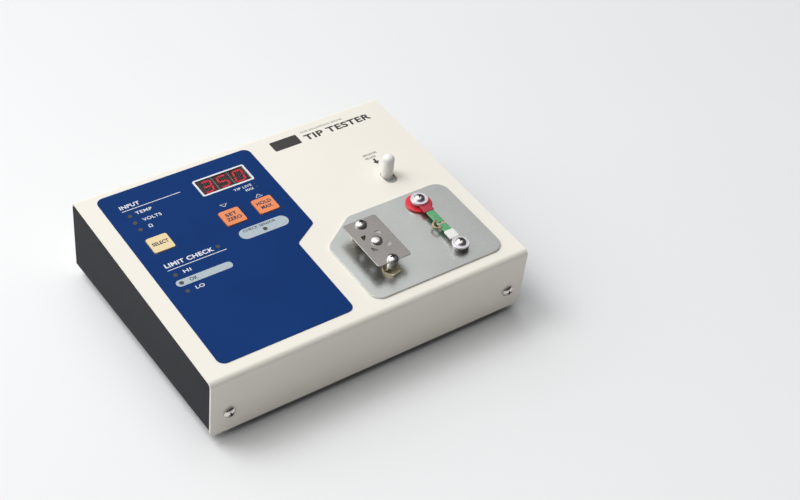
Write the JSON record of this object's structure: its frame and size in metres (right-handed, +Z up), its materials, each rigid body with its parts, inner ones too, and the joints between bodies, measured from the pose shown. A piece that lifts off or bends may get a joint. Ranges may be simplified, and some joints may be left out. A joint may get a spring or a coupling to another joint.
{
  "type": "soldering-iron tip tester",
  "caption": "Desk tester for soldering-iron tips: sloped sheet-metal case, film keypad with a numeric display, stretched thermocouple sensor on two terminals and a spring contact strip.",
  "frame": {"origin": "middle of the case at table level, under the rubber feet", "axes": "+Z up, front faces -Y, +X to the user's right"},
  "size_m": [0.2, 0.1654, 0.0656],
  "materials": {
    "cream_paint": "fine leatherette powder coat, satin",
    "grey_paint": "semi-gloss dark grey paint",
    "plated_steel": "bright nickel plate",
    "rubber_black": "moulded rubber",
    "blue_film": "printed polyester film, satin",
    "window_smoke": "clear tinted window",
    "digit_black": "black face with red segments",
    "led_smoke": "unlit diffused lens",
    "key_cream": "moulded, satin",
    "key_orange": "moulded, satin",
    "plastic_black": "moulded, fine texture",
    "board_green": "solder mask",
    "brass_part": "turned brass",
    "core_steel": "stacked laminations",
    "winding_tape": "polyester tape",
    "plate_steel": "satin stainless steel",
    "strip_steel": "satin spring steel",
    "washer_zinc": "zinc plate",
    "carriage_alloy": "machined",
    "guide_steel": "zinc-plated sheet",
    "plastic_white": "moulded nylon",
    "plastic_red": "moulded nylon",
    "sleeve_green": "woven glass sleeve",
    "wire_red": "wire insulation"
  },
  "bodies": {
    "root": {"top_cover": "cream_paint", "chassis": "grey_paint", "cover_screws": "plated_steel", "rubber_feet": "rubber_black", "foot_screws": "plated_steel", "panel_film": "blue_film", "display_window": "window_smoke", "digit_left": "digit_black", "digit_middle": "digit_black", "digit_right": "digit_black", "mode_leds": "led_smoke", "comparator_leds": "led_smoke", "alarm_led": "led_smoke", "key_switches": "plastic_black", "main_board": "board_green", "board_standoffs": "brass_part", "m3_screws": "plated_steel", "microcontroller": "plastic_black", "sensor_amplifier": "plastic_black", "buzzer": "plastic_black", "transformer_core": "core_steel", "transformer_winding": "winding_tape", "sensor_plate": "plate_steel", "contact_strip": "strip_steel", "contact_button": "plated_steel", "contact_screws": "plated_steel", "contact_spacers": "plated_steel", "contact_nuts": "brass_part", "insulating_bushes": "plastic_white", "lock_nuts": "plated_steel", "fixed_terminal": "plated_steel", "fixed_washer": "washer_zinc", "fixed_screw": "plated_steel", "slider_guide": "guide_steel", "guide_rod": "plated_steel", "guide_nuts": "plated_steel", "slider_spring": "plated_steel", "fixed_tab": "plastic_white", "sensor_ribbon": "sleeve_green", "inlet_body": "plastic_black", "inlet_pins": "plated_steel", "switch_housing": "plastic_black", "earth_jack": "brass_part", "earth_nut": "plated_steel", "wiring": "wire_red"},
    "release_slider": {"slider_carriage": "carriage_alloy", "release_knob": "plastic_white", "movable_terminal": "plated_steel", "movable_insulator": "plastic_red", "movable_washer": "washer_zinc", "movable_screw": "plated_steel", "movable_tab": "plastic_red"},
    "mode_button": {"mode_key": "key_cream", "mode_plunger": "plastic_black"},
    "zero_button": {"zero_key": "key_orange", "zero_plunger": "plastic_black"},
    "hold_button": {"hold_key": "key_orange", "hold_plunger": "plastic_black"},
    "power_toggle": {"power_rocker": "plastic_black"}
  },
  "joints": [
    {"name": "release_slide", "type": "slide", "parent": "root", "child": "release_slider", "axis": [0, -0.9973, -0.074], "range_m": [0, 0.0038], "stiffness_N_per_m": 600, "springref_m": -0.002, "deforming": ["slider_spring", "sensor_ribbon"]},
    {"name": "mode_press", "type": "slide", "parent": "root", "child": "mode_button", "axis": [0, 0.074, -0.9973], "range_m": [0, 0.0004], "stiffness_N_per_m": 800, "springref_m": -0.0004},
    {"name": "zero_press", "type": "slide", "parent": "root", "child": "zero_button", "axis": [0, 0.074, -0.9973], "range_m": [0, 0.0004], "stiffness_N_per_m": 800, "springref_m": -0.0004},
    {"name": "hold_press", "type": "slide", "parent": "root", "child": "hold_button", "axis": [0, 0.074, -0.9973], "range_m": [0, 0.0004], "stiffness_N_per_m": 800, "springref_m": -0.0004},
    {"name": "power_rock", "type": "hinge", "parent": "root", "child": "power_toggle", "pos_m": [-0.015, 0.07349, 0.02886], "axis": [-1, 0, 0], "range_deg": [0, 24]}
  ]
}
